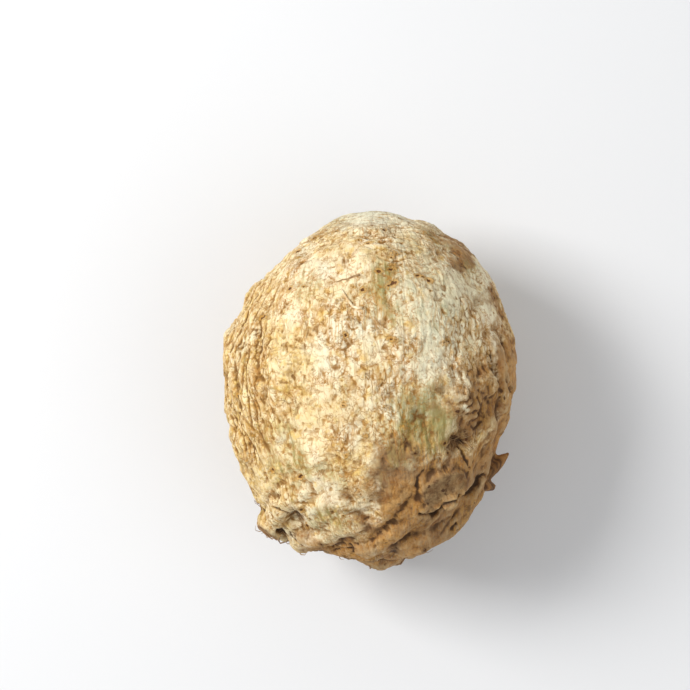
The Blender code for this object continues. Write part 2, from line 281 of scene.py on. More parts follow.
def plain_radius(ways):
    """Distance from the middle to the skin without roots, along each unit vector."""
    level = np.hypot(ways[:, 0], ways[:, 1])
    radius = 1 / np.hypot(level / rim_radius(ways[:, 0], ways[:, 1]), ways[:, 2] / (HEIGHT / 2))
    radius += 0.0018 * noise_at(ways, 1 / 1.7, (3.1, 0.4, 7.7))
    radius += 0.0014 * noise_at(ways, 1 / 3.9, (0.3, 9.2, 1.5))
    radius += 0.0009 * noise_at(ways, 1 / 8.5, (5.0, 2.0, 4.0))
    from_crown = radius * np.arccos(np.clip(ways @ np.array(CROWN_WAY), -1, 1))
    radius -= DISH_DEPTH * np.exp(-((from_crown / CROWN_RADIUS) ** 4))
    return radius + SHOULDER_RISE * np.exp(-(((from_crown - 1.4 * CROWN_RADIUS) / 0.009) ** 2))


def on_plain_skin(way):
    return Vector(np.array(way) * plain_radius(np.array([way]))[0])


def way_from_above(x, y):
    share = math.hypot(x, y) / rim_radius(np.array([x]), np.array([y]))[0]
    return Vector((x, y, HEIGHT / 2 * math.sqrt(max(0.0, 1 - share * share)))).normalized()


def turned(axis_way, polar, azimuth):
    side = axis_way.cross(Vector((0, 0, 1))).normalized()
    return Matrix.Rotation(azimuth, 3, axis_way) @ (Matrix.Rotation(polar, 3, side) @ axis_way)


def placed_roots():
    roots = []
    for places, thick, thin in ARMS:
        last = len(places) - 1
        points = [on_plain_skin(way_from_above(*place)) for place in places]
        radii = [thick + (thin - thick) * step / last for step in range(len(places))]
        sinks = [radius * (0.95 - 0.5 * step / last) for step, radius in enumerate(radii)]
        roots.append((points, radii, sinks))
    return roots


def grown_roots():
    draw = random.Random(ROOT_SEED)
    roots = []
    for number in range(ROOT_COUNT):
        share = (number + 0.5) / ROOT_COUNT
        polar = math.radians(6) + ROOT_ZONE * math.sqrt(share) + draw.uniform(-0.06, 0.06)
        azimuth = number * GOLDEN_ANGLE + draw.uniform(-0.25, 0.25)
        thick = draw.uniform(0.0042, 0.0072)
        run = draw.uniform(0.22, 0.42)
        twist = draw.uniform(-0.45, 0.45)
        rise = draw.uniform(0.35, 0.95)
        if turned(ROOT_WAY, polar, azimuth).z > 0.10:
            continue
        points, radii, sinks = [], [], []
        for step in range(ROOT_STEPS):
            along = step / (ROOT_STEPS - 1)
            way = turned(ROOT_WAY, abs(polar - run * along), azimuth + twist * along)
            points.append(on_plain_skin(way))
            radii.append(thick * (1.1 - 0.35 * along) * draw.uniform(0.9, 1.1))
            sinks.append(radii[-1] * (0.9 - rise * math.sin(2.2 * along)))
        roots.append((points, radii, sinks))
    return roots


def off_line(places, start, end):
    """For each place: distance to a line, and how far along the line the nearest point is."""
    start, end = np.array(start), np.array(end)
    along = end - start
    share = np.clip((places - start) @ along / (along @ along), 0, 1)
    return np.linalg.norm(places - start - share[:, None] * along, axis=1), share


def root_rise(places, root):
    points, radii, sinks = root
    highest, furrow = np.zeros(len(places)), np.zeros(len(places))
    for step in range(len(points) - 1):
        off, share = off_line(places, points[step], points[step + 1])
        radius = radii[step] + (radii[step + 1] - radii[step]) * share
        sink = sinks[step] + (sinks[step + 1] - sinks[step]) * share
        off = off / radius
        lift = radius * np.sqrt(np.clip(1 - off * off, 0, None)) - sink
        highest = np.maximum(highest, np.where(off < 1, lift, 0))
        furrow = np.maximum(furrow, np.exp(-(((off - 1.1) / 0.3) ** 2)))
    return highest, furrow


def knob_rise(places, centre, radius, rise):
    off = np.linalg.norm(places - np.array(centre), axis=1) / radius
    return rise * np.sqrt(np.clip(1 - off ** 4, 0, None))


GROWN_ROOTS = grown_roots()
ROOTS = placed_roots() + GROWN_ROOTS


def skin_points(ways):
    """Points of the root's main form along unit vectors, from the middle."""
    places = ways * plain_radius(ways)[:, None]
    rise, furrow = np.zeros(len(ways)), np.zeros(len(ways))
    for root in ROOTS:
        lift, side = root_rise(places, root)
        rise, furrow = np.maximum(rise, lift), np.maximum(furrow, side)
    for place, radius, height in CUT_KNOBS:
        rise = np.maximum(rise, knob_rise(places, on_plain_skin(way_from_above(*place)), radius, height))
    rise -= np.where(rise < GROOVE_DEPTH, GROOVE_DEPTH * furrow * (1 - rise / GROOVE_DEPTH), 0)
    for place, height, spread in LUMPS:
        off = np.linalg.norm(places - np.array(on_plain_skin(way_from_above(*place))), axis=1)
        rise += height * np.exp(-((off / spread) ** 2))
    return places + ways * rise[:, None]


# Making meshes

def deselect_all():
    for thing in bpy.context.selected_objects:
        thing.select_set(False)


def only(piece):
    """Selects one piece and makes it active."""
    deselect_all()
    piece.select_set(True)
    bpy.context.view_layer.objects.active = piece
    return piece


def points_of(mesh):
    places = np.empty(len(mesh.vertices) * 3, np.float32)
    mesh.vertices.foreach_get("co", places)
    return places.reshape(-1, 3).astype(float)


def put_points(mesh, places):
    mesh.vertices.foreach_set("co", places.astype(np.float32).ravel())
    mesh.update()


def normals_of(mesh):
    ways = np.empty(len(mesh.vertices) * 3, np.float32)
    mesh.vertex_normals.foreach_get("vector", ways)
    return ways.reshape(-1, 3).astype(float)


def apply_modifier(piece, kind, **settings):
    only(piece)
    made = piece.modifiers.new(kind.lower(), kind)
    for name, value in settings.items():
        setattr(made, name, value)
    bpy.ops.object.modifier_apply(modifier=made.name)


def tubes(name, strands, rounding):
    """One mesh of round tubes: each strand is its points and a radius at each point."""
    deselect_all()
    curve = bpy.data.curves.new(name, "CURVE")
    curve.dimensions = "3D"
    curve.bevel_depth = 1
    curve.bevel_resolution = rounding
    curve.use_fill_caps = True
    for points, radii in strands:
        spline = curve.splines.new("POLY")
        spline.points.add(len(points) - 1)
        for slot, point, radius in zip(spline.points, points, radii):
            slot.co = (*point, 1)
            slot.radius = radius
    piece = bpy.data.objects.new(name, curve)
    bpy.context.scene.collection.objects.link(piece)
    only(piece)
    bpy.ops.object.convert(target="MESH")
    piece = bpy.context.object
    apply_modifier(piece, "WELD", merge_threshold=0.000002)
    return piece


def stub_list():
    """Every trimmed root that stands out: end of the cut, way it points, points, radii, kind."""
    stubs = []

    def stub(way, lean, sunk, rise, radii, kind):
        foot = on_plain_skin(way)
        heading = (way + lean).normalized()
        steps = len(radii) - 1
        points = [foot + heading * (-sunk + (sunk + rise) * step / steps) for step in range(steps + 1)]
        stubs.append((points[-1], heading, points, radii, kind))

    stub(*TAP_ROOT, "cut")
    for number, (points, radii, _) in enumerate(GROWN_ROOTS[::CUT_EVERY]):
        run = (points[-1] - points[-2]).normalized()
        thick = radii[-1] * 0.95
        lean = run * CUT_LEAN * (0.5 + jumping(number))
        stub(points[-1].normalized(), lean, 0.006, 0.0026 + 0.25 * thick,
             (thick * 1.15, thick * 1.1, thick, thick * 0.88), "cut")
    stub(*SPUR, "tip")
    stub(*SMALL_KNOB, "tip")
    return stubs


def stalk_list():
    """Every cut leaf stalk: foot, way up, across, inward, half width, half thickness, height, ring."""
    centre = on_plain_skin(CROWN_WAY)
    side = CROWN_WAY.cross(Vector((0, 0, 1))).normalized()
    other = CROWN_WAY.cross(side)
    stalks = []
    for number in range(STALK_COUNT):
        share = math.sqrt((number + 0.3) / STALK_COUNT)
        azimuth = number * GOLDEN_ANGLE
        outward = side * math.cos(azimuth) + other * math.sin(azimuth)
        lean = (CROWN_WAY + outward * 0.35 * share).normalized()
        across = CROWN_WAY.cross(outward)
        tall = STALK_FOOT + STALK_RISE * (1.1 - 0.4 * share)
        foot = centre + outward * CROWN_RADIUS * share - lean * STALK_FOOT
        stalks.append((foot, lean, across, lean.cross(across), 0.0020 + 0.0032 * share,
                       0.0015 + 0.0006 * share, tall, max(0.004, CROWN_RADIUS * share)))
    return stalks


STUBS = stub_list()
STALKS = stalk_list()


def make_stalk(number, stalk):
    foot, lean, across, inward, half_width, half_thick, tall, ring = stalk
    deselect_all()
    bpy.ops.mesh.primitive_cone_add(vertices=20, radius1=1, radius2=0.72, depth=1)
    piece = bpy.context.object
    piece.name = f"stalk_{number}"
    for vertex in piece.data.vertices:
        sideways = vertex.co.x * half_width
        bent = vertex.co.y * half_thick + 0.5 * sideways * sideways / ring
        vertex.co = foot + across * sideways + inward * bent + lean * (vertex.co.z + 0.5) * tall
    return piece


def make_form():
    """The whole root in one even mesh: swollen part, root arms, stubs and stalks grown together."""
    deselect_all()
    bpy.ops.mesh.primitive_ico_sphere_add(subdivisions=7, radius=1)
    skin = bpy.context.object
    skin.name = "celeriac_skin"
    put_points(skin.data, skin_points(unit(points_of(skin.data))))
    grown = [tubes("stubs", [(points, radii) for _, _, points, radii, _ in STUBS], 4)]
    grown += [make_stalk(number, stalk) for number, stalk in enumerate(STALKS)]
    only(skin)
    for piece in grown:
        piece.select_set(True)
    bpy.ops.object.join()
    apply_modifier(skin, "REMESH", mode="VOXEL", voxel_size=GRAIN, adaptivity=0)
    apply_modifier(skin, "SMOOTH", factor=0.5, iterations=3)
    put_points(skin.data, points_of(skin.data) + MIDDLE)
    return skin


# Skin relief

def lines_to_root(ways):
    """Lines that run over the skin from crown to root end: how far along, and which line."""
    root = np.array(ROOT_WAY)
    side = unit(np.array([np.cross(root, (0, 0, 1))]))[0]
    other = np.cross(root, side)

    def flattened(vectors):
        return (vectors @ side + 1j * (vectors @ other)) / np.clip(1 - vectors @ root, 1e-4, None)

    crown = np.array(CROWN_WAY)
    off = flattened(ways) - flattened(crown)
    far = np.abs(off) + 1e-9
    return 2 * np.arctan(0.5 * (1 - crown @ root) * far), np.column_stack((off.real / far, off.imag / far))


def flow_noise(angle, circle, across, along, shift):
    """Noise that runs in lines from crown to root (along small) or in rings (across small)."""
    lines = np.column_stack((circle * across, angle * along))
    return noise_at(lines, 1.0, (shift, shift * 0.7, shift * 1.3))


def cell_gaps(places, size):
    """0 at the borders between corky cells of about that size, 1 inside them."""
    gaps = []
    for spot in (places / size).tolist():
        near = noise.voronoi(spot)[0]
        gaps.append(near[1] - near[0])
    return np.clip(np.array(gaps) / 0.4, 0, 1)


def scar_list():
    """Root scars: the ones that show, and seeded ones over the rest: place, radius, darkness."""
    ways = [way_from_above(*place) for place, _ in SEEN_SCARS]
    sizes = [(radius * 0.85, 0.85) for _, radius in SEEN_SCARS]
    draw = random.Random(SCAR_SEED)
    while len(ways) < SCAR_COUNT:
        way = Vector(draw.gauss(0, 1) for _ in range(3)).normalized()
        from_crown, from_root = way.angle(CROWN_WAY), way.angle(ROOT_WAY)
        seen = way.z > 0.5 and way.y > -0.2
        if from_crown > 0.45 and from_root > 0.45 and not (seen and draw.random() < 0.45):
            ways.append(way)
            sizes.append((draw.uniform(0.0004, 0.0014), draw.uniform(0.1, 0.8)))
    places = skin_points(np.array(ways)) + MIDDLE
    return [(place, *size) for place, size in zip(places, sizes)]


def scar_relief(places, scars):
    """Raised knots with a pit, wider round the root than along it; and their masks."""
    relief, pit, halo = np.zeros(len(places)), np.zeros(len(places)), np.zeros(len(places))
    crown = np.array(CROWN_WAY)
    for number, (centre, radius, dark) in enumerate(scars):
        near = np.flatnonzero(np.linalg.norm(places - centre, axis=1) < radius * 5)
        if not len(near):
            continue
        out = unit(np.array([centre - MIDDLE]))[0]
        across = unit(np.array([np.cross(crown, out)]))[0]
        off = places[near] - centre
        wide = off @ across / (1.2 + 0.7 * jumping(number))
        long = off @ np.cross(out, across)
        far = np.hypot(wide, long) / radius
        far = far * (1 + 0.35 * noise_at(places[near], 0.0016, (number, 0, 0)))
        knot = 0.00045 + 0.25 * radius * jumping(number, 0.377)
        relief[near] += knot * np.exp(-((far / 1.7) ** 2))
        relief[near] -= SCAR_PIT_DEPTH * dark * np.exp(-((far / 0.65) ** 2))
        pit[near] = np.maximum(pit[near], dark * np.exp(-((far / 0.8) ** 2)))
        halo[near] = np.maximum(halo[near], (0.4 + 0.6 * dark) * np.exp(-((far / 1.8) ** 2)))
    return relief, pit, halo


def crack_relief(places):
    """Cracks of the upper side, measured over the skin itself: how deep, and a mask."""
    depth, mask = np.zeros(len(places)), np.zeros(len(places))
    upper = np.flatnonzero(places[:, 2] > MIDDLE[2] - 0.004)
    seen = places[upper] - MIDDLE
    bent = seen + np.column_stack([0.0010 * noise_at(seen, 0.0045, (shift, 1, 4))
                                   + 0.0005 * noise_at(seen, 0.0018, (shift, 5, 4)) for shift in (3, 8, 5)])
    ragged = 1 + 0.5 * noise_at(seen, 0.003, (6, 6, 1))
    for points, deep, half_width in CRACKS:
        line = []
        for start, end in zip(points, points[1:]):
            steps = max(1, round(math.dist(start, end) / CRACK_STEP))
            for step in range(steps + (end == points[-1])):
                x, y = (a + (b - a) * step / steps for a, b in zip(start, end))
                line.append(seen[np.argmin(np.hypot(seen[:, 0] - x, seen[:, 1] - y))])
        nearest = np.full(len(seen), 1.0)
        for number, (start, end) in enumerate(zip(line, line[1:])):
            taper = 0.35 + 0.65 * math.sin(math.pi * (number + 0.5) / (len(line) - 1))
            nearest = np.minimum(nearest, off_line(bent, start, end + 1e-7)[0] / taper)
        cut = np.exp(-((nearest / (half_width * ragged)) ** 2)) * np.clip(ragged, 0.5, 1)
        depth[upper] = np.maximum(depth[upper], deep * cut)
        mask[upper] = np.maximum(mask[upper], cut)
    return depth, mask


def cut_ends(places):
    """Flat cut ends: middle, facing, across, half width, half thickness, bend, reach and age."""
    ends = []
    for number, (end, heading, _, radii, kind) in enumerate(STUBS):
        if kind == "cut":
            across, age = heading.orthogonal().normalized(), 0.5 * jumping(number)
            ends.append((end, heading, across, radii[-1], radii[-1], 0.0, CUT_REACH, age))
    for foot, lean, across, _, half_width, half_thick, tall, ring in STALKS:
        ends.append((foot + lean * tall, lean, across, 0.74 * half_width, 0.80 * half_thick,
                     0.5 / ring, CUT_REACH, STALK_CUT_AGE))
    place, radius, height = CUT_KNOBS[1]
    way = way_from_above(*place)
    centre = np.array(on_plain_skin(way) + way * height)
    near = np.linalg.norm(places - centre, axis=1) < radius * 0.6
    heading = (way + Vector((0, 0, KNOB_TILT))).normalized()
    centre = Vector(centre + np.array(heading) * np.mean((places[near] - centre) @ np.array(heading)))
    across = heading.orthogonal().normalized()
    return ends + [(centre, heading, across, radius, radius, 0.0, OLD_CUT_REACH, OLD_CUT_AGE)]


def big_cut(places):
    """The large old cut of the upper side: share of each point on it, height over it, its facing."""
    corners = np.array(BIG_CUT)
    upper = places[:, 2] > 0.02
    wander = np.column_stack([noise_at(places, 0.005, (shift, 2, 2)) for shift in (1, 6)])
    wavy = places[:, :2] + 0.0007 * wander
    inside = np.full(len(places), 1.0)
    for start, end in zip(corners, np.roll(corners, -1, axis=0)):
        edge = (end - start) / np.linalg.norm(end - start)
        inside = np.minimum(inside, (wavy - start) @ np.array((-edge[1], edge[0])))
    heading = way_from_above(*corners.mean(axis=0)) + Vector((0, 0, KNOB_TILT))
    heading = np.array(heading.normalized())
    height = places @ heading
    height -= np.mean(height[(inside > 0) & upper])
    share = step_between(-0.0002, 0.0016, inside) * upper * step_between(-0.0040, -0.0015, height)
    return share, height, heading


def cut_faces(places):
    """Marks each cut end, how old it is, how far each point is over its cut and how near its rim."""
    fresh, old, over = np.zeros(len(places)), np.zeros(len(places)), np.zeros(len(places))
    heading_at, from_middle = np.zeros_like(places), np.zeros(len(places))
    local = places - MIDDLE
    ragged = 1 + 0.14 * noise_at(places, 0.005, (2, 7, 7))
    for end, heading, across, half_width, half_thick, bend, reach, age in cut_ends(local):
        off = local - np.array(end)
        height = off @ np.array(heading)
        wide = off @ np.array(across)
        deep = off @ np.array(heading.cross(across)) - bend * wide * wide
        rim = np.hypot(wide / half_width, deep / half_thick) * ragged
        share = step_between(1.14, 0.96, rim) * step_between(-0.0016, -0.0008, height) * (height < reach)
        found = share > np.maximum(fresh + old, 0.02)
        fresh[found], old[found], over[found] = share[found] * (1 - age), share[found] * age, height[found]
        heading_at[found], from_middle[found] = heading, rim[found]
    share, height, heading = big_cut(local)
    found = share > 0
    fresh[found], old[found], over[found] = 0, share[found], height[found]
    heading_at[found] = heading
    return fresh, old, over, heading_at, from_middle


def ring_mean(mesh, values, rounds):
    """Each point's value averaged with its neighbours', several times over."""
    ends = np.empty(len(mesh.edges) * 2, np.int32)
    mesh.edges.foreach_get("vertices", ends)
    a, b = ends.reshape(-1, 2).T
    count = len(mesh.vertices)
    degree = np.bincount(a, minlength=count) + np.bincount(b, minlength=count)
    columns = values.reshape(count, -1)
    for _ in range(rounds):
        summed = np.stack([np.bincount(a, column[b], count) + np.bincount(b, column[a], count)
                           for column in columns.T], axis=1)
        columns = 0.5 * columns + 0.5 * summed / degree[:, None]
    return columns.reshape(values.shape)


def patches(places, spots):
    """Soft patches on the upper side, the strongest where they overlap."""
    mask = np.zeros(len(places))
    for x, y, wide, long, strength in spots:
        off = ((places[:, 0] - x) / wide) ** 2 + ((places[:, 1] - y) / long) ** 2
        mask = np.maximum(mask, strength * np.exp(-off))
    return mask * step_between(0.030, 0.062, places[:, 2])


def left_edge(places):
    return step_between(-0.030, -0.050, places[:, 0]) * step_between(-0.045, -0.020, places[:, 1])


def blotches(places, bump, low, high, shift):
    """Soft blotches all over the skin: 0 where the noise is below low, 1 above high."""
    return step_between(low, high, noise_at(places, bump, shift))


def wandering(places):
    """The places moved about by noise, which gives the patches crooked borders."""
    for bump, amount, seed in ((0.020, 0.0065, (3, 3)), (0.006, 0.0028, (8, 1))):
        moves = [noise_at(places, bump, (shift, *seed)) for shift in (2, 6, 9)]
        places = places + amount * np.column_stack(moves)
    return places


def brown_zone(places, ways, high, to_root, wide, broken):
    """Brown root end, right edge, lower right and spots, less the cleared patch; the lower right's brown is
    partly painted shade.
    """
    x, y = places[:, 0], places[:, 1]
    root_end = step_between(math.radians(62), math.radians(38), to_root + 0.18 * wide + 0.1 * broken)
    right_edge = step_between(0.040, 0.054, x) * step_between(0.034, 0.010, y)
    right_edge *= step_between(0.020, 0.045, high)
    # painted shade in part: the lower right browner and darker
    lower_right = step_between(-0.014, 0.014, x) * step_between(0.000, -0.036, y)
    lower_right *= step_between(0.02, 0.05, high)
    brown = np.maximum.reduce((0.9 * root_end, patches(places, BROWN_PATCHES),
                               0.95 * right_edge, 1.05 * lower_right))
    brown *= 1 - patches(places, CLEARED_PATCH)
    underside = step_between(0.25, 0.6, wide) * step_between(0.2, -0.4, ways[:, 2])
    brown = np.maximum(brown, 0.55 * underside)
    border = 0.55 * noise_at(places, 0.013, (2, 2, 5)) + 0.35 * broken
    return np.clip(brown + border * np.clip(4 * brown * (1 - brown), 0, 1), 0, 1)


def orange_zone(places, spiky):
    """Where brown skin is rusty, and the dry husk of the spur and the small knob."""
    x, y = places[:, 0], places[:, 1]
    right = 0.8 * step_between(0.046, 0.056, x) * step_between(-0.050, -0.030, y)
    orange = np.maximum.reduce((spiky, right, patches(places, ORANGE_PATCH)))
    orange += 0.25 * noise_at(places, 0.009, (5, 9, 5)) * (spiky < 0.1)
    orange = np.clip(orange, 0, np.maximum(0.8, spiky))
    lower = 0.7 * step_between(-0.055, -0.066, y) * step_between(0.030, 0.015, x)
    return np.maximum.reduce((orange, lower, 0.7 * blotches(places, 0.017, 0.1, 0.4, (7, 7, 7))))


def colour_zones(places, ways, to_crown, to_root, spiky):
    """Where the skin is brown, green, gold, orange or pale: soft patches broken up by noise."""
    wide = noise_at(places, 0.022, (1, 5, 2))
    broken = noise_at(places, 0.007, (4, 4, 1))
    high = places[:, 2]
    places = wandering(places)
    crown_green = 0.6 * step_between(0.85, 0.40, to_crown) * step_between(-0.3, 0.4, wide)
    green = np.maximum.reduce((patches(places, GREEN_PATCHES), crown_green,
                               0.5 * blotches(places, 0.030, 0.30, 0.65, (9, 2, 6))))
    green = np.clip(green + 0.3 * broken * (green > 0.02), 0, 1) * (1 - spiky)
    left_gold = step_between(-0.030, -0.050, places[:, 0]) * step_between(0.060, 0.035, places[:, 1])
    gold = np.maximum.reduce((left_gold, patches(places, GOLD_PATCHES),
                              0.8 * blotches(places, 0.026, 0.15, 0.5, (2, 8, 8))))
    pale = np.maximum(patches(places, PALE_PATCHES),
                      0.6 * blotches(places, 0.019, 0.25, 0.5, (3, 8, 3)))
    return {
        "brown": np.maximum(brown_zone(places, ways, high, to_root, wide, broken), spiky),
        "green": green, "gold": gold, "orange": orange_zone(places, spiky), "pale": pale,
    }


def keep(mesh, name, values):
    """Stores a value, or a place, at each point of the skin for its material to read."""
    if values.ndim == 1:
        mesh.attributes.new(name, "FLOAT", "POINT").data.foreach_set("value", values.astype(np.float32))
    else:
        layer = mesh.attributes.new(name, "FLOAT_VECTOR", "POINT")
        layer.data.foreach_set("vector", values.astype(np.float32).ravel())


def roughness_of(places):
    """Rough and smooth stretches of skin, from 0.35 to 1.3; the left edge is roughest."""
    stretches = noise_at(places, 0.019, (4, 2, 9)) + 0.5 * noise_at(places, 0.008, (4, 2, 2))
    rough = 0.35 + 0.75 * step_between(-0.35, 0.40, stretches)
    return np.maximum(rough, 1.3 * left_edge(places))


def creased(values, low=0.5):
    """Sharp creases where the noise crosses zero, round ridges between them."""
    return 2.2 * np.abs(values) - low


def rib_relief(places, wander, to_crown, along, circle, rooty):
    """Rings round the crown, and crooked ribs down the flanks."""
    sideways = circle + 0.06 * wander[:, None]
    fine_sideways = circle + 0.04 * wander[:, None]
    from_crown = to_crown + 0.05 * wander + 0.02 * noise_at(places, 0.006, (1, 1, 5))
    ringed = step_between(*RINGED_ZONE, to_crown + 0.25 * wander)
    ribbed = (1 - 0.8 * ringed) * (1 - 0.7 * rooty)
    edge = left_edge(places)
    rings = creased(flow_noise(from_crown, circle, 3.2, 24, 2.0))
    ribs = creased(flow_noise(along, sideways, 10, 3.4, 5.0)) * (1 + 1.6 * edge)
    fine_ribs = creased(flow_noise(along + 0.05 * wander, fine_sideways, 23, 7.5, 8.0)) * (1 + 1.8 * edge)
    return RING_HEIGHT * rings * ringed + (RIB_HEIGHT * ribs + FINE_RIB_HEIGHT * fine_ribs) * ribbed


def cork_relief(places, rooty, rough):
    """Flakes of the outer skin, cells of cork with grooves between them, swells and fine grain."""
    flakes = noise_at(places, 0.0085, (3, 7, 1)) + 0.4 * noise_at(places, 0.003, (9, 9, 4))
    relief = FLAKE_HEIGHT * step_between(0.02, 0.07, flakes)
    relief += SECOND_FLAKE_HEIGHT * step_between(-0.30, -0.26, flakes)
    covered = blotches(places, 0.018, -0.25, 0.2, (6, 1, 6)) * (1 - 0.6 * rooty)
    grooves = (1 - cell_gaps(places * np.array((1.0, 0.7, 1.0)), 0.0034)) ** 2
    relief -= CELL_GROOVE * grooves * covered * rough
    relief += SWELL_HEIGHT * noise_at(places, 0.011, (5, 5, 2))
    return relief + GRAIN_HEIGHT * rough * noise_at(places, 0.0020, (8, 1, 1))


def wrinkles(places, to_crown, along, circle, rooty, rough):
    """Height of the skin's own relief, with knots at the root end and creases over the lobes."""
    wander = noise_at(places, 0.016, (7, 3, 1))
    lobes = patches(places, LOBED_PATCH)
    calm = 1 - np.maximum(0.6 * lobes, patches(places, SMOOTH_PATCH))
    knotted = KNOT_HEIGHT * noise_at(places, 0.0055, (1, 7, 4))
    knotted -= KNOT_CREASE * np.abs(noise_at(places, 0.0032))
    relief = rough * rib_relief(places, wander, to_crown, along, circle, rooty)
    relief = (relief + cork_relief(places, rooty, rough) + rooty * knotted) * calm
    across_lobes = places[:, :2] @ np.array((0.88, -0.47)) * 300
    along_lobes = places[:, :2] @ np.array((0.47, 0.88)) * 60
    slant = np.column_stack((across_lobes, along_lobes, np.zeros(len(places))))
    slant += 0.25 * wander[:, None]
    relief += LOBE_CREASE * lobes * (1.6 * np.abs(noise_at(slant, 1.0, (2, 5, 5))) - 0.4)
    bunched = creased(noise_at(places, 0.0044, (5, 1, 8)), 0.6)
    return relief + BUNCH_HEIGHT * patches(places, BUNCHED_PATCH) * bunched - 0.0004


def near_spikes(places):
    """1 on the spur and the small knob at the right, 0 elsewhere."""
    local, mask = places - MIDDLE, np.zeros(len(places))
    for _, _, points, _, kind in STUBS:
        if kind == "tip":
            off = off_line(local, points[1], points[-1])[0]
            mask = np.maximum(mask, step_between(0.0062, 0.0040, off) * (local[:, 0] > 0.040))
    return mask


def shape_skin(skin):
    """Puts the relief, scars, cracks and cut faces on the even mesh, and the masks for its colours."""
    mesh = skin.data
    places, out = points_of(mesh), normals_of(mesh)
    ways = unit(places - MIDDLE)
    to_crown = np.arccos(np.clip(ways @ np.array(CROWN_WAY), -1, 1))
    to_root = np.arccos(np.clip(ways @ np.array(ROOT_WAY), -1, 1))
    along, circle = lines_to_root(ways)
    rooty = step_between(*ROOTY_ZONE, to_root)
    spiky = near_spikes(places)
    scars, pit, halo = scar_relief(places, scar_list())
    cracks, crack = crack_relief(places)
    fresh, old, over, heading, from_middle = cut_faces(places)
    rough = roughness_of(places)
    relief = wrinkles(places, to_crown, along, circle, rooty, rough) + scars - cracks
    relief *= (1 - ring_mean(mesh, fresh + old, 2)) * (1 - 0.8 * spiky)
    relief *= step_between(0.0002, 0.0030, places[:, 2])
    shaped = places + out * relief[:, None]
    rough_cut = 0.00022 * noise_at(places, 0.0016, (3, 3, 3)) - 0.0002
    dried_cut = 0.0007 * noise_at(places, 0.0060, (4, 4, 4)) + 0.0003 * noise_at(places, 0.0028, (9, 4, 4))
    shaped -= heading * ((over - rough_cut - old * dried_cut) * (fresh + old))[:, None]
    shaped = np.clip(shaped, *np.array(SOLID_BOX))
    put_points(mesh, shaped)
    out = normals_of(mesh)
    hollow = np.einsum("ij,ij->i", ring_mean(mesh, shaped, 8) - shaped, out)
    deep = np.einsum("ij,ij->i", ring_mean(mesh, shaped, 80) - shaped, out)
    masks = colour_zones(places, ways, to_crown, to_root, spiky) | {
        "rough": np.clip(rough / 1.15, 0, 1),
        "hollow": np.clip(hollow / HOLLOW_DEPTH, -1, 1),
        "deep": np.clip(deep / WIDE_HOLLOW_DEPTH, -1, 1),
        "pit": pit, "halo": halo, "crack": crack,
        "fresh_cut": ring_mean(mesh, fresh, 1),
        "old_cut": ring_mean(mesh, old, 1),
        "cut_rim": ring_mean(mesh, from_middle, 1),
        "soiled": rooty * step_between(0.080, 0.050, places[:, 2]),
        "ringed": step_between(*RINGED_ZONE, to_crown),
        "flow": np.column_stack((along, circle)) * FLOW_RADIUS,
    }
    for name, values in masks.items():
        keep(mesh, name, values)


def thin_out(skin):
    """Drops the faces that the skin's form needs least."""
    faces = sum(len(face.vertices) - 2 for face in skin.data.polygons)
    if faces > SKIN_FACES:
        apply_modifier(skin, "DECIMATE", ratio=SKIN_FACES / faces)
        low, high = np.array(SOLID_BOX)
        put_points(skin.data, np.clip(points_of(skin.data), low + BOX_MARGIN, high - BOX_MARGIN))


# Rootlets

def surface_of(skin):
    """Lets rootlets find the finished skin."""
    mesh = skin.data
    return BVHTree.FromPolygons([vertex.co for vertex in mesh.vertices],
                                [face.vertices for face in mesh.polygons])


def on_skin(surface, way):
    """Place on the finished skin along a way from the middle."""
    middle = Vector(MIDDLE)
    hit = surface.ray_cast(middle + way * 0.2, -way)[0]
    return hit if hit else middle + on_plain_skin(way)


def strand(draw, surface, way, run, length, thick, lift):
    """A rootlet that leaves the skin and curls along it: points and radii."""
    heading = (run - way * run.dot(way)).normalized()
    side = way.cross(heading)
    sway, kink = draw.uniform(-0.7, 0.7), draw.uniform(-0.4, 0.4)
    points, radii = [], []
    for step in range(ROOTLET_STEPS):
        share = step / (ROOTLET_STEPS - 1)
        turn = sway * share + kink * math.sin(5 * share)
        ahead = heading * math.cos(turn) + side * math.sin(turn)
        moved = (way + ahead * (length * share / ROOT_RADIUS)).normalized()
        rise = lift * (math.sin(share * math.pi * 0.75) + draw.uniform(-0.08, 0.08)) - thick * (1 - share)
        points.append(on_skin(surface, moved) + moved * rise)
        radii.append(thick * (1 - 0.75 * share))
    return points, radii


def in_box(points):
    """The points kept a little inside the solid's box."""
    low, high = np.array(SOLID_BOX)
    return [Vector(place) for place in np.clip(np.array(points), low + BOX_GAP, high - BOX_GAP)]


def make_rootlets(surface):
    """Fine roots left at the root end, hairs in the hollow of the upper side and one ochre rootlet."""
    draw = random.Random(HAIR_SEED)
    strands = []
    while len(strands) < ROOTLET_COUNT:
        polar = math.radians(4 + 56 * math.sqrt(draw.random()))
        way = turned(ROOT_WAY, polar, draw.uniform(0, math.tau))
        if way.z > 0.12 or (way.x > 0.55 and way.z > -0.25):
            continue
        run = Vector(draw.uniform(-1, 1) for _ in range(3))
        long = draw.random() ** 2
        thick = 0.00022 + 0.0006 * long * draw.random()
        points, radii = strand(draw, surface, way, run, 0.003 + 0.015 * long, thick,
                               draw.uniform(0.0003, 0.0018))
        strands.append((in_box(points), radii))
    for number in range(HAIR_COUNT):
        turn = math.tau * number / HAIR_COUNT + draw.uniform(-0.2, 0.2)
        x = HAIR_RING[0] + HAIR_RING_RADII[0] * math.cos(turn)
        y = HAIR_RING[1] + HAIR_RING_RADII[1] * math.sin(turn)
        run = Vector((math.cos(turn), math.sin(turn), 0)) * draw.choice((1, 1, -1))
        strands.append(strand(draw, surface, way_from_above(x, y), run, draw.uniform(0.003, 0.0075),
                              draw.uniform(0.00014, 0.00028), draw.uniform(0.0006, 0.0016)))
    return tubes("rootlets", strands + placed_strands(surface, OCHRE_ROOTLET), 1)


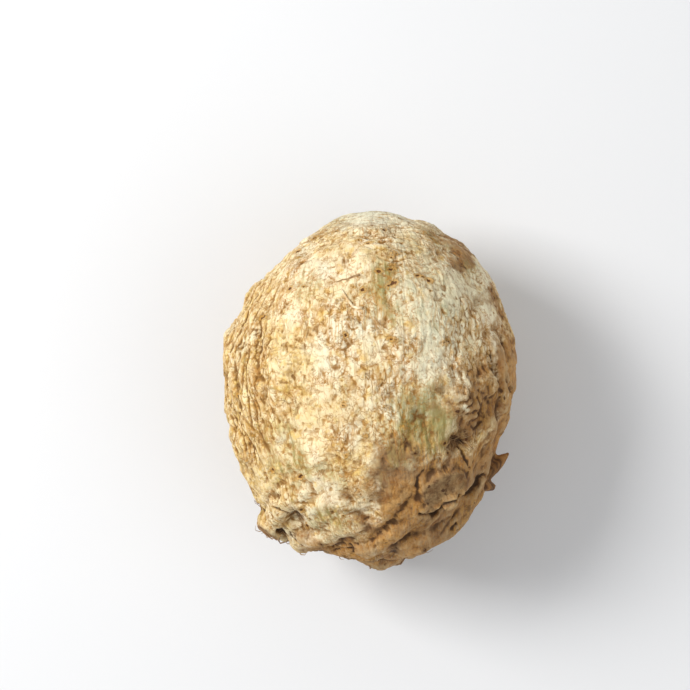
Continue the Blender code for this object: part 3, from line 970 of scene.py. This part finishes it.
def placed_strands(surface, *drawn):
    """Rootlets laid on the upper side: places seen from above, height over the skin, radii."""
    return [([on_skin(surface, way_from_above(*place)) + Vector((0, 0, lift)) for place in places], radii)
            for places, lift, radii in drawn]


def make_seen_rootlets(surface):
    """The pale rootlets that show on the upper side: one on the flank and one at the left edge."""
    strands = placed_strands(surface, PALE_ROOTLET, EDGE_ROOTLET)
    return tubes("upper_rootlets", [(in_box(points), radii) for points, radii in strands], 2)


# Materials

# Colours of the cream skin
CREAM, STRAW, FLAKE_CREAM = (0.93, 0.80, 0.55), (0.89, 0.69, 0.35), (0.94, 0.83, 0.54)
OCHRE, OCHRE_SPOT = (0.76, 0.54, 0.18), (0.78, 0.50, 0.12)
LIGHT_GOLD, DARK_GOLD = (0.88, 0.68, 0.32), (0.66, 0.42, 0.10)
LIGHT_OLIVE, DARK_OLIVE, DEEP_OLIVE = (0.50, 0.435, 0.145), (0.25, 0.205, 0.042), (0.27, 0.225, 0.07)
PALE_SKIN = (0.93, 0.90, 0.68)

# Colours of the brown skin
LIGHT_TAN, DARK_TAN = (0.40, 0.225, 0.09), (0.23, 0.10, 0.030)
LIGHT_RUST, DARK_RUST = (0.68, 0.37, 0.115), (0.37, 0.155, 0.035)
# The second colour is skin lightened on the ridges by scraping and by painted highlight
EARTH, SCRAPED_AND_HIGHLIT_CREST, DRY_FIBRE = (0.23, 0.145, 0.075), (0.66, 0.48, 0.25), (0.54, 0.37, 0.18)
LIGHT_HUSK, DARK_HUSK = (0.36, 0.17, 0.05), (0.10, 0.042, 0.015)

# Colours of lines, furrows, scars and dirt, with painted highlights on the crests and painted shade in the
# valleys, cracks and hollows
CURL, NET_LINE, WIDE_NET_LINE = (0.46, 0.18, 0.032), (0.55, 0.29, 0.070), (0.46, 0.22, 0.045)
FLAKE_EDGE, RING_EDGE = (0.48, 0.21, 0.040), (0.50, 0.26, 0.07)
STREAK, RING_STREAK = (0.46, 0.23, 0.06), (0.50, 0.27, 0.09)
# Painted highlights: lighter colours laid on the crests
CREAM_CREST_HIGHLIGHT, TAN_CREST_HIGHLIGHT = (0.92, 0.79, 0.50), (0.54, 0.36, 0.17)
# Painted shade: darker colours laid in the valleys and small hollows
CREAM_VALLEY_SHADE, GOLD_VALLEY_SHADE, TAN_VALLEY_SHADE = (0.40, 0.19, 0.038), (0.25, 0.115, 0.020), (0.10, 0.045, 0.015)
SCAR_RING, TAN_SCAR_RING, SCAR_PIT = (0.60, 0.31, 0.065), (0.27, 0.14, 0.05), (0.11, 0.036, 0.012)
# The first colour is the dark inside of the cracks, with painted shade along the creases
CRACK_AND_SHADE, DOT = (0.075, 0.042, 0.022), (0.30, 0.13, 0.035)
# The first colour is soil and painted shade, laid in the wide hollows; the second is dust
SOIL_AND_SHADE, DUST = (0.080, 0.036, 0.012), (0.27, 0.20, 0.135)

# Colours of cut faces, fresh and dried, and of rootlets
LIGHT_FLESH, DARK_FLESH, FLESH_RING = (0.86, 0.68, 0.38), (0.68, 0.45, 0.18), (0.58, 0.36, 0.13)
FLESH_STAIN, CUT_SKIN, CUT_BORDER = (0.50, 0.33, 0.14), (0.33, 0.165, 0.05), (0.24, 0.11, 0.035)
LIGHT_DRIED, DARK_DRIED, RUSTY_DRIED = (0.38, 0.235, 0.10), (0.17, 0.085, 0.030), (0.40, 0.19, 0.055)
DRIED_CREST, DRIED_PIT = (0.46, 0.33, 0.18), (0.09, 0.04, 0.015)
DARK_ROOTLET = (0.46, 0.29, 0.13), (0.22, 0.11, 0.04)
LIGHT_ROOTLET = (0.92, 0.80, 0.55), (0.62, 0.40, 0.17)

STORED_MASKS = ("brown", "green", "gold", "orange", "pale", "rough", "hollow", "deep", "pit", "halo",
                "crack", "fresh_cut", "old_cut", "cut_rim", "soiled", "ringed")


class Shader:
    """A node tree with short calls for its nodes."""

    def __init__(self, tree):
        self.tree = tree

    def put(self, value, socket):
        """Links a socket to another, or sets it to a number, a colour or a place."""
        if isinstance(value, bpy.types.NodeSocket):
            self.tree.links.new(value, socket)
        elif socket.type == "RGBA" and len(value) == 3:
            socket.default_value = (*value, 1)
        else:
            socket.default_value = value

    def node(self, kind, inputs=None, **settings):
        made = self.tree.nodes.new(kind)
        for name, value in settings.items():
            setattr(made, name, value)
        for name, value in (inputs or {}).items():
            self.put(value, made.inputs[name])
        return made

    def math(self, operation, a, b):
        return self.node("ShaderNodeMath", {0: a, 1: b}, operation=operation).outputs[0]

    def vector_math(self, operation, a, b):
        return self.node("ShaderNodeVectorMath", {0: a, 1: b}, operation=operation).outputs[0]

    def times(self, *values):
        product = values[0]
        for value in values[1:]:
            product = self.math("MULTIPLY", product, value)
        return product

    def broken(self, mask, noise, amount):
        """A mask with ragged borders: the noise round its middle, added to it."""
        return self.math("ADD", mask, self.times(self.math("SUBTRACT", noise, 0.5), amount))

    def mix(self, share, under, over):
        made = self.node("ShaderNodeMix", {0: share, 6: under, 7: over}, data_type="RGBA")
        return made.outputs[2]

    def paint(self, under, over, *shares):
        """Lays one colour over another where all the shares are high."""
        return self.mix(self.times(*shares), under, over)

    def map(self, value, low, high, to_low, to_high, **settings):
        return self.node("ShaderNodeMapRange", {
            "Value": value, "From Min": low, "From Max": high, "To Min": to_low, "To Max": to_high,
        }, **settings).outputs[0]

    def ramp(self, value, low, high):
        """0 at low, 1 at high, straight between."""
        return self.map(value, low, high, 0.0, 1.0)

    def noise(self, place, scale, detail=3.0, roughness=0.55, distortion=0.0):
        return self.node("ShaderNodeTexNoise", {
            "Vector": place, "Scale": scale, "Detail": detail, "Roughness": roughness,
            "Distortion": distortion}).outputs["Fac"]

    def grouped(self, name, **inputs):
        """The outputs of a shared node group with its inputs set."""
        return self.node("ShaderNodeGroup", inputs, node_tree=bpy.data.node_groups[name]).outputs

    def stored(self, name):
        return self.node("ShaderNodeAttribute", attribute_name=name).outputs["Fac"]

    def stretched(self, place, scale):
        return self.node("ShaderNodeMapping", {"Vector": place, "Scale": scale}).outputs[0]


def group(name, inputs, outputs):
    """A node group with named sockets; returns its shader, input sockets and output sockets."""
    tree = bpy.data.node_groups.new(name, "ShaderNodeTree")
    tree.interface.new_socket("Place", in_out="INPUT", socket_type="NodeSocketVector")
    for label, value in inputs.items():
        socket = tree.interface.new_socket(label, in_out="INPUT", socket_type="NodeSocketFloat")
        socket.default_value = value
    for label in outputs:
        tree.interface.new_socket(label, in_out="OUTPUT", socket_type="NodeSocketFloat")
    s = Shader(tree)
    return s, s.node("NodeGroupInput").outputs, s.node("NodeGroupOutput").inputs


def cork_net_group():
    """Fine net of cracks between corky cells: a mask of the lines and a height."""
    s, given, out = group("cork_net", {"Scale": 450.0, "Line": 0.10}, ("Lines", "Height"))
    pushed = s.node("ShaderNodeTexNoise", {"Vector": given["Place"], "Scale": 260.0, "Detail": 3.0})
    pushed = s.vector_math("SUBTRACT", pushed.outputs["Color"], (0.5, 0.5, 0.5))
    pushed = s.node("ShaderNodeVectorMath", {0: pushed, "Scale": 0.0042}, operation="SCALE").outputs[0]
    cells = s.node("ShaderNodeTexVoronoi", {
        "Vector": s.vector_math("ADD", given["Place"], pushed), "Scale": given["Scale"], "Randomness": 1.0,
    }, feature="DISTANCE_TO_EDGE").outputs["Distance"]
    lines = s.map(cells, 0.0, given["Line"], 1.0, 0.0, interpolation_type="SMOOTHSTEP")
    s.put(lines, out["Lines"])
    s.put(s.ramp(cells, 0.0, 0.35), out["Height"])


def flake_group():
    """Flaked skin: where the top layer is left, and the ragged line along its edge."""
    s, given, out = group("flakes", {"Scale": 200.0, "Level": 0.5, "Width": 0.015}, ("Left", "Edge"))
    depth = s.noise(given["Place"], given["Scale"], 5.0, 0.58, 0.5)
    above = s.math("SUBTRACT", depth, given["Level"])
    from_edge = s.node("ShaderNodeMath", {0: above}, operation="ABSOLUTE").outputs[0]
    s.put(s.ramp(above, -0.01, 0.01), out["Left"])
    s.put(s.map(from_edge, 0.0, given["Width"], 1.0, 0.0), out["Edge"])


def speckle_group():
    """Small scattered dots."""
    s, given, out = group("speckle", {"Scale": 500.0, "Share": 0.3}, ("Dots",))
    cells = s.node("ShaderNodeTexVoronoi", {
        "Vector": given["Place"], "Scale": given["Scale"], "Randomness": 1.0}).outputs
    drawn = s.node("ShaderNodeSeparateColor", {"Color": cells["Color"]}).outputs[0]
    picked = s.math("LESS_THAN", drawn, given["Share"])
    s.put(s.times(s.ramp(cells["Distance"], 0.30, 0.14), picked), out["Dots"])


def dried_spots_group():
    """Dark spots and fine grain of dry rootlets."""
    s, given, out = group("dried_spots", {"Scale": 350.0}, ("Spots", "Height"))
    s.put(s.ramp(s.noise(given["Place"], given["Scale"]), 0.35, 0.65), out["Spots"])
    s.put(s.noise(given["Place"], 1800), out["Height"])


def new_material(name, roughness, shine=0.5):
    made = bpy.data.materials.new(name)
    made.use_nodes = True
    shader = made.node_tree.nodes["Principled BSDF"]
    shader.inputs["Roughness"].default_value = roughness
    shader.inputs["Metallic"].default_value = 0
    shader.inputs["Specular IOR Level"].default_value = shine
    return made, Shader(made.node_tree), shader.inputs


def skin_masks(s):
    """The masks stored on the skin, and the noises, nets and flakes that its colours share."""
    look = SimpleNamespace(**{name: s.stored(name) for name in STORED_MASKS})
    look.place = s.node("ShaderNodeTexCoord").outputs["Object"]
    flow = s.node("ShaderNodeAttribute", attribute_name="flow").outputs["Vector"]
    along, around = s.stretched(flow, (0.30, 1.0, 1.0)), s.stretched(flow, (1.0, 0.22, 0.22))
    look.clouds = s.noise(look.place, 55, 4.0)
    look.mottle = s.noise(look.place, 230, 4.0, 0.6)
    look.grain = s.noise(look.place, 900, 4.0, 0.65)
    look.fibres = s.noise(s.stretched(flow, (0.13, 1.0, 1.0)), 900, 3.0, 0.6)
    look.ring_lines = s.noise(around, 700, 3.0, 0.6)
    look.net = s.grouped("cork_net", Place=along, Scale=430.0, Line=0.16)
    look.wide_net = s.grouped("cork_net", Place=look.place, Scale=230.0, Line=0.09)
    look.flakes = s.grouped("flakes", Place=look.place, Scale=140.0, Level=0.52, Width=0.022)
    look.long_flakes = s.grouped("flakes", Place=along, Scale=210.0, Level=0.47, Width=0.022)
    look.ring_flakes = s.grouped("flakes", Place=around, Scale=240.0, Level=0.50, Width=0.024)
    look.curls = s.grouped("flakes", Place=look.place, Scale=210.0, Level=0.50, Width=0.022)
    look.calm = s.ramp(look.pale, 1.15, 0.35)
    patches = s.broken(s.broken(look.brown, look.mottle, 1.3), look.clouds, 0.9)
    look.corky = s.ramp(s.math("SUBTRACT", patches, s.times(s.ramp(look.pale, 0.5, 1.0), 0.6)), 0.28, 0.70)
    look.scar_ring = s.ramp(s.broken(look.halo, look.grain, 1.1), 0.42, 0.68)
    look.scar_pit = s.ramp(s.broken(look.pit, look.grain, 1.1), 0.48, 0.62)
    return look


def cream_skin(s, look, olive, greenness):
    """Cream cork with straw, ochre and gold, olive and pale patches, one pale patch being painted light, and
    curled flake edges.
    """
    colour = s.mix(s.ramp(look.clouds, 0.38, 0.66), CREAM, STRAW)
    colour = s.paint(colour, FLAKE_CREAM, look.flakes["Left"], 0.45)
    colour = s.paint(colour, OCHRE, s.ramp(look.mottle, 0.52, 0.68), s.ramp(look.rough, 0.1, 0.9))
    old_gold = s.mix(s.ramp(look.mottle, 0.40, 0.62), LIGHT_GOLD, DARK_GOLD)
    colour = s.paint(colour, old_gold, look.gold, s.ramp(look.grain, 0.30, 0.58))
    colour = s.paint(colour, olive, s.ramp(greenness, 0.15, 1.05), 0.95)
    # pale skin; on the upper right partly painted light
    colour = s.paint(colour, PALE_SKIN, look.pale, 0.8)
    ochre_spots = s.ramp(s.noise(look.place, 160, 4.0, 0.6), 0.57, 0.66)
    colour = s.paint(colour, OCHRE_SPOT, ochre_spots, 0.65, look.calm)
    curly = s.math("MAXIMUM", s.ramp(s.noise(look.place, 90), 0.46, 0.56), s.times(look.orange, 1.2))
    return s.paint(colour, CURL, look.curls["Edge"], curly, look.calm)


def brown_skin(s, look):
    """Tan and rusty skin, earthy in places, with crests lightened by scraping and rubbing and by painted
    highlight, and pale fibres.
    """
    tan = s.mix(s.ramp(look.mottle, 0.36, 0.62), LIGHT_TAN, DARK_TAN)
    rusty = s.mix(s.ramp(look.mottle, 0.38, 0.62), LIGHT_RUST, DARK_RUST)
    tan = s.paint(tan, rusty, s.ramp(look.orange, 0.15, 0.85), 0.85)
    tan = s.paint(tan, EARTH, s.ramp(s.noise(look.place, 85), 0.48, 0.62), 0.6)
    # ridges lighter: scraping and rubbing, and painted highlight
    scraped_and_highlit = s.times(s.ramp(look.deep, -0.15, -0.8), s.ramp(look.mottle, 0.40, 0.60))
    rubbed_and_highlit = s.times(s.ramp(look.deep, 0.0, -0.5), look.soiled, s.ramp(look.clouds, 0.44, 0.58))
    tan = s.paint(tan, SCRAPED_AND_HIGHLIT_CREST, s.math("MAXIMUM", scraped_and_highlit, rubbed_and_highlit), 0.75)
    return s.paint(tan, DRY_FIBRE, s.ramp(look.fibres, 0.50, 0.68), 0.45)


def skin_lines(s, look, colour):
    """Lines of the cork net, edges of flakes and streaks, along the ribs and round the crown."""
    not_ringed = s.ramp(look.ringed, 0.9, 0.2)
    colour = s.paint(colour, NET_LINE, look.net["Lines"], s.ramp(look.rough, 0.35, 1.0), not_ringed, 0.7)
    colour = s.paint(colour, WIDE_NET_LINE, look.wide_net["Lines"], s.ramp(look.mottle, 0.42, 0.62),
                     look.calm, s.ramp(look.rough, 0.0, 1.4))
    for flaked, low, high in ((look.flakes, -0.4, 1.1), (look.long_flakes, 0.0, 1.3)):
        colour = s.paint(colour, FLAKE_EDGE, flaked["Edge"], s.ramp(look.rough, low, high), look.calm)
    colour = s.paint(colour, RING_EDGE, look.ring_flakes["Edge"], look.ringed, 0.7)
    streaked = s.ramp(s.noise(look.place, 80, 2.0), 0.50, 0.62)
    colour = s.paint(colour, STREAK, s.ramp(look.fibres, 0.57, 0.69), streaked, s.ramp(not_ringed, 0.0, 1.6))
    return s.paint(colour, RING_STREAK, s.ramp(look.ring_lines, 0.56, 0.70), look.ringed, 0.55)


def crest_highlights_and_valley_shade(s, look, colour):
    """Pale crests as painted highlights, dark valleys as painted shade, and the dry husk of the spur and the
    small knob.
    """
    # painted highlight: the crests lightened
    crest_highlight_colour = s.mix(look.corky, CREAM_CREST_HIGHLIGHT, TAN_CREST_HIGHLIGHT)
    colour = s.paint(colour, crest_highlight_colour, s.ramp(look.hollow, -0.15, -0.9), s.ramp(look.orange, 1.0, 0.85),
                     s.ramp(look.green, 1.6, 0.0), 0.45)
    # painted shade: the valleys and small hollows darkened, more on the gold skin
    sunk = s.math("ADD", look.hollow, s.times(look.gold, 0.12))
    valley_shade_colour = s.mix(look.corky, s.mix(look.gold, CREAM_VALLEY_SHADE, GOLD_VALLEY_SHADE), TAN_VALLEY_SHADE)
    colour = s.paint(colour, valley_shade_colour, s.ramp(sunk, 0.05, 0.65), 0.92)
    husk = s.mix(s.ramp(look.fibres, 0.42, 0.58), LIGHT_HUSK, DARK_HUSK)
    return s.paint(colour, husk, s.ramp(look.orange, 0.82, 1.0), 0.92)


def scars_soil_and_shade(s, look, colour):
    """Soil and painted shade in the furrows and wide hollows, dust, ringed scars with dark pits, cracks
    darkened partly with painted shade, and small dots.
    """
    # soil and painted shade: darker in the furrows and wide hollows
    colour = s.paint(colour, SOIL_AND_SHADE, s.ramp(look.deep, 0.20, 0.85), s.ramp(look.grain, 0.30, 0.52), 0.85)
    colour = s.paint(colour, DUST, s.ramp(look.grain, 0.44, 0.60), s.ramp(look.clouds, 0.58, 0.44),
                     look.soiled, 0.6)
    colour = s.paint(colour, s.mix(look.corky, SCAR_RING, TAN_SCAR_RING), look.scar_ring, 0.75)
    colour = s.paint(colour, SCAR_PIT, look.scar_pit, 0.92)
    # cracks and creases darkened: their dark inside and painted shade
    colour = s.paint(colour, CRACK_AND_SHADE, s.ramp(s.broken(look.crack, look.grain, 0.66), 0.45, 0.85), 0.8)
    dots = s.grouped("speckle", Place=look.place, Scale=420.0, Share=0.14)["Dots"]
    return s.paint(colour, DOT, dots, 0.6)


def fresh_flesh(s, look):
    """Pale flesh of a cut, with a faint ring, stains and the brown skin round it."""
    rim = s.broken(look.cut_rim, look.mottle, 0.25)
    flesh = s.mix(s.ramp(look.grain, 0.40, 0.64), LIGHT_FLESH, DARK_FLESH)
    flesh = s.paint(flesh, FLESH_RING, s.ramp(rim, 0.40, 0.50), s.ramp(rim, 0.62, 0.52), 0.45)
    flesh = s.paint(flesh, CUT_SKIN, s.ramp(rim, 0.72, 0.98), 0.85)
    return s.paint(flesh, FLESH_STAIN, s.ramp(look.clouds, 0.46, 0.60), 0.5)


def dried_flesh(s, look):
    """Brown, rusty and pitted flesh of an old cut."""
    dried = s.mix(s.ramp(look.mottle, 0.38, 0.60), LIGHT_DRIED, DARK_DRIED)
    dried = s.paint(dried, RUSTY_DRIED, s.ramp(look.clouds, 0.50, 0.62), 0.7)
    dried = s.paint(dried, DRIED_CREST, s.ramp(look.grain, 0.54, 0.68), 0.4)
    return s.paint(dried, DRIED_PIT, s.ramp(s.noise(look.place, 330), 0.60, 0.68))


def skin_height(s, look):
    """Height of the finest relief, which the bump shows; lower on smooth skin."""
    height = s.times(look.grain, 0.6)
    for value, share in ((look.net["Height"], 0.30), (look.wide_net["Height"], 0.5), (look.fibres, 0.5),
                         (look.mottle, 0.9), (look.flakes["Left"], 0.4), (look.long_flakes["Left"], 0.35),
                         (look.scar_ring, 0.7), (look.scar_pit, -1.4),
                         (s.times(look.ring_lines, look.ringed), 0.8)):
        height = s.math("ADD", height, s.times(value, share))
    return s.times(height, s.map(look.rough, 0.0, 1.0, 0.45, 1.2))


def skin_material():
    """Corky celeriac skin: cream and gold, green and brown patches, scars, soil, painted highlights on the
    crests and painted shade in the hollows, pale cut flesh.
    """
    made, s, sockets = new_material("celeriac_skin_finish", 0.75, 0.25)
    look = skin_masks(s)
    olive = s.mix(s.ramp(look.fibres, 0.36, 0.60), LIGHT_OLIVE, DARK_OLIVE)
    olive = s.paint(olive, DEEP_OLIVE, s.ramp(look.green, 0.7, 1.0), 0.65)
    greenness = s.broken(s.broken(look.green, look.fibres, 1.6), look.clouds, 1.2)
    colour = s.mix(look.corky, cream_skin(s, look, olive, greenness), brown_skin(s, look))
    colour = skin_lines(s, look, colour)
    colour = s.paint(colour, olive, s.ramp(greenness, 0.65, 1.35), 0.78)
    colour = scars_soil_and_shade(s, look, crest_highlights_and_valley_shade(s, look, colour))
    colour = s.paint(colour, CUT_BORDER, s.ramp(look.fresh_cut, 0.05, 0.30), 0.8)
    colour = s.mix(s.ramp(look.fresh_cut, 0.34, 0.52), colour, fresh_flesh(s, look))
    colour = s.mix(s.ramp(look.old_cut, 0.15, 0.8), colour, dried_flesh(s, look))
    s.put(colour, sockets["Base Color"])
    s.put(s.map(look.grain, 0.3, 0.7, 0.60, 0.88), sockets["Roughness"])
    bump = s.node("ShaderNodeBump", {"Height": skin_height(s, look), "Strength": 0.9, "Distance": 0.0006})
    s.put(bump.outputs["Normal"], sockets["Normal"])
    return made


def rootlet_material(name, light, dark):
    """Dry rootlet: darker in spots, finely grained."""
    made, s, sockets = new_material(name, 0.7)
    place = s.node("ShaderNodeTexCoord").outputs["Object"]
    dried = s.grouped("dried_spots", Place=place)
    s.put(s.mix(dried["Spots"], light, dark), sockets["Base Color"])
    bump = s.node("ShaderNodeBump", {"Height": dried["Height"], "Strength": 0.5, "Distance": 0.0002})
    s.put(bump.outputs["Normal"], sockets["Normal"])
    return made


def plain_material(name, colour, roughness):
    made, s, sockets = new_material(name, roughness)
    s.put(colour, sockets["Base Color"])
    return made


def dress(piece, finish, replaced=()):
    """Gives a finished piece its material and tells the frame what it belongs to."""
    piece.data.materials.clear()
    piece.data.materials.append(finish)
    piece.data.shade_smooth()
    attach(piece, "root")
    for node in replaced:
        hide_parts(node)


# Studio

def make_floor():
    deselect_all()
    bpy.ops.mesh.primitive_plane_add(size=6)
    floor = bpy.context.object
    floor.name = "floor"
    floor.data.materials.append(plain_material("pale_floor", (0.80, 0.80, 0.80), 0.9))


def area_light(name, place, size, watts):
    lamp = bpy.data.lights.new(name, "AREA")
    lamp.energy = watts
    lamp.size = size
    light = bpy.data.objects.new(name, lamp)
    bpy.context.scene.collection.objects.link(light)
    light.location = place
    light.rotation_euler = (LIGHT_AIM - Vector(place)).to_track_quat("-Z", "Y").to_euler()


def make_studio():
    make_floor()
    area_light("key", (-0.80, 0.32, 0.95), 0.50, 13.5)
    area_light("fill", (0.9, -0.4, 0.9), 1.2, 3.4)
    world = bpy.data.worlds.new("studio")
    world.use_nodes = True
    background = world.node_tree.nodes["Background"]
    background.inputs["Color"].default_value = (0.95, 0.97, 1.0, 1)
    background.inputs["Strength"].default_value = 0.50
    bpy.context.scene.world = world
    bpy.context.scene.view_settings.view_transform = "Standard"


def make_camera():
    """Straight above, as the photograph was taken."""
    view = bpy.data.cameras.new("camera")
    view.sensor_width = SENSOR
    view.lens = SENSOR * CAMERA_TO_ROOT / SEEN_WIDTH
    camera = bpy.data.objects.new("camera", view)
    bpy.context.scene.collection.objects.link(camera)
    camera.location = CAMERA_PLACE
    bpy.context.scene.camera = camera


def main():
    make_camera()
    make_studio()
    skin = make_form()
    shape_skin(skin)
    thin_out(skin)
    for shared in (cork_net_group, flake_group, speckle_group, dried_spots_group):
        shared()
    dress(skin, skin_material(), ["celeriac_root"])
    surface = surface_of(skin)
    dress(make_rootlets(surface), rootlet_material("dark_rootlet", *DARK_ROOTLET))
    dress(make_seen_rootlets(surface), rootlet_material("pale_rootlet", *LIGHT_ROOTLET))


main()
